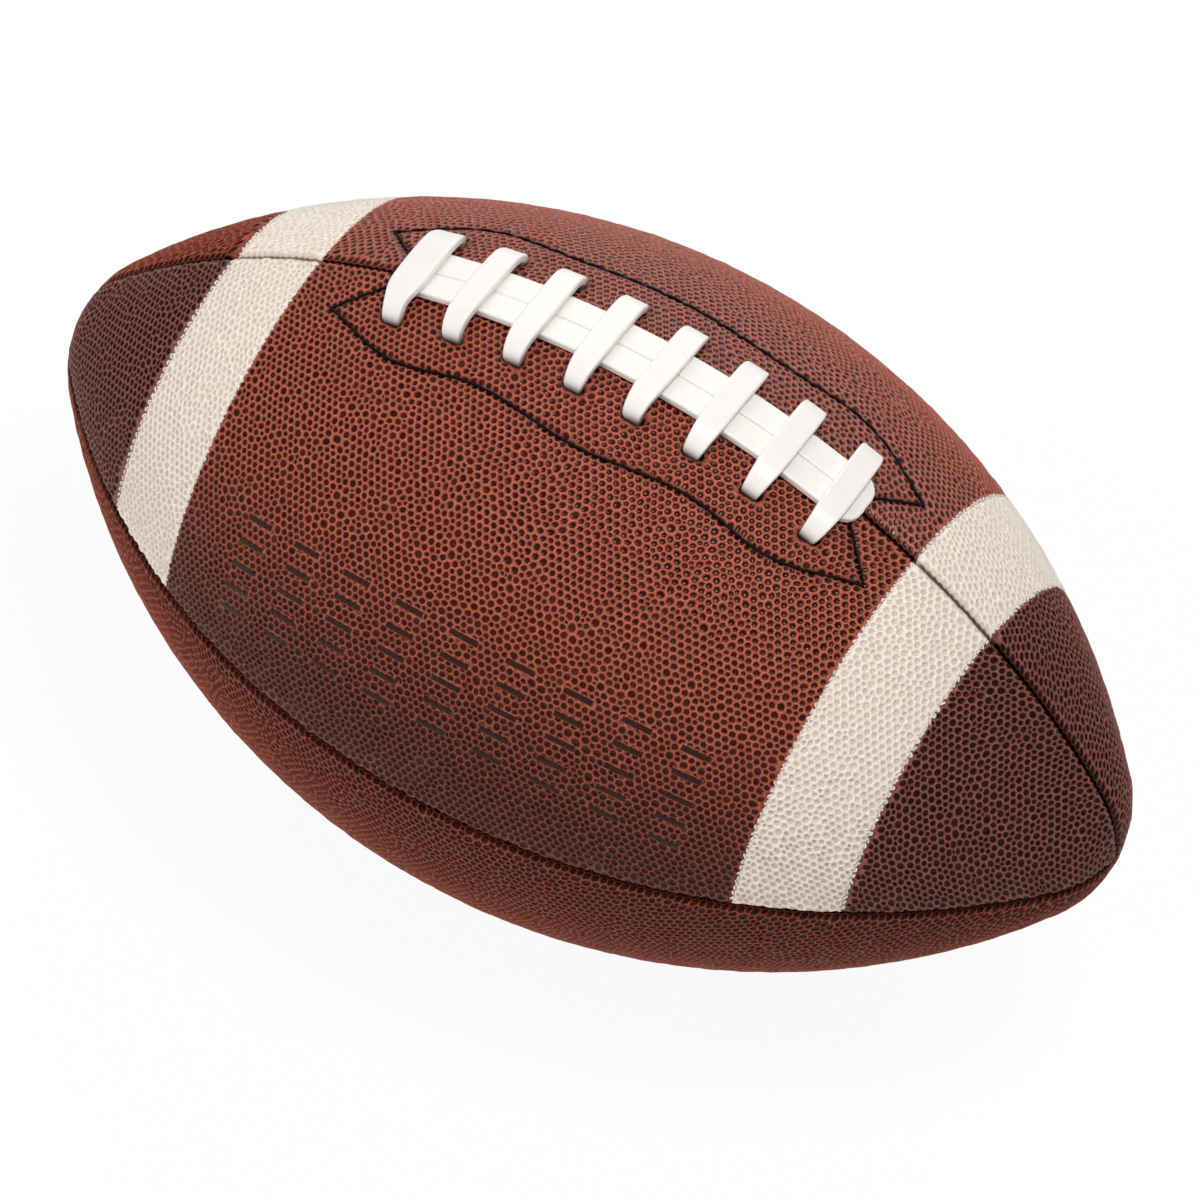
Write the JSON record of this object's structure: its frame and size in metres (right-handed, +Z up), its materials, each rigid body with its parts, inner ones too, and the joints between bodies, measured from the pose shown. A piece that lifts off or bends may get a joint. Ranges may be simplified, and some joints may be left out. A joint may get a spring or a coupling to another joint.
{
  "type": "american football",
  "caption": "Pointed oval leather ball for throwing, carrying and kicking, with sewn panels, pale stripes, a laced seam and an inflated bladder with a needle valve.",
  "frame": {"origin": "middle of the ball, at the centre of its greatest girth on the long axis", "axes": "+X along the ball to the right tip, +Z up through the laces, +Y to the back"},
  "size_m": [0.2798, 0.1608, 0.1649],
  "materials": {
    "brown_leather": "pebbled red-brown leather with darker raised grain",
    "dark_leather": "pebbled dark brown leather",
    "cream_leather": "pebbled cream leather",
    "lace_vinyl": "smooth white vinyl, satin",
    "black_thread": "waxed black sewing thread",
    "pale_thread": "waxed pale sewing thread",
    "seam_thread": "waxed brown sewing thread",
    "lining_cloth": "rubber-coated woven cloth",
    "facing_cloth": "coated reinforcement cloth",
    "bladder_rubber": "butyl rubber, matt",
    "valve_rubber": "moulded butyl rubber"
  },
  "bodies": {
    "root": {"front_top_panel": "brown_leather", "front_top_lining": "lining_cloth", "front_bottom_panel": "brown_leather", "front_bottom_lining": "lining_cloth", "front_left_stripe": "cream_leather", "front_left_tip": "dark_leather", "front_left_stripe_stitching": "pale_thread", "front_right_stripe": "cream_leather", "front_right_tip": "dark_leather", "front_right_stripe_stitching": "pale_thread", "front_lace_facing": "facing_cloth", "front_facing_stitches": "black_thread", "back_top_panel": "brown_leather", "back_top_lining": "lining_cloth", "back_bottom_panel": "brown_leather", "back_bottom_lining": "lining_cloth", "back_left_stripe": "cream_leather", "back_left_tip": "brown_leather", "back_left_stripe_stitching": "pale_thread", "back_right_stripe": "cream_leather", "back_right_tip": "dark_leather", "back_right_stripe_stitching": "pale_thread", "back_lace_facing": "facing_cloth", "back_facing_stitches": "black_thread", "top_seam_thread": "seam_thread", "front_seam_thread": "seam_thread", "bottom_seam_thread": "seam_thread", "back_seam_thread": "seam_thread", "cross_lace": "lace_vinyl", "long_lace": "lace_vinyl", "lace_tongue": "facing_cloth", "bladder": "bladder_rubber", "valve_housing": "valve_rubber", "valve_core": "valve_rubber"}
  },
  "joints": []
}
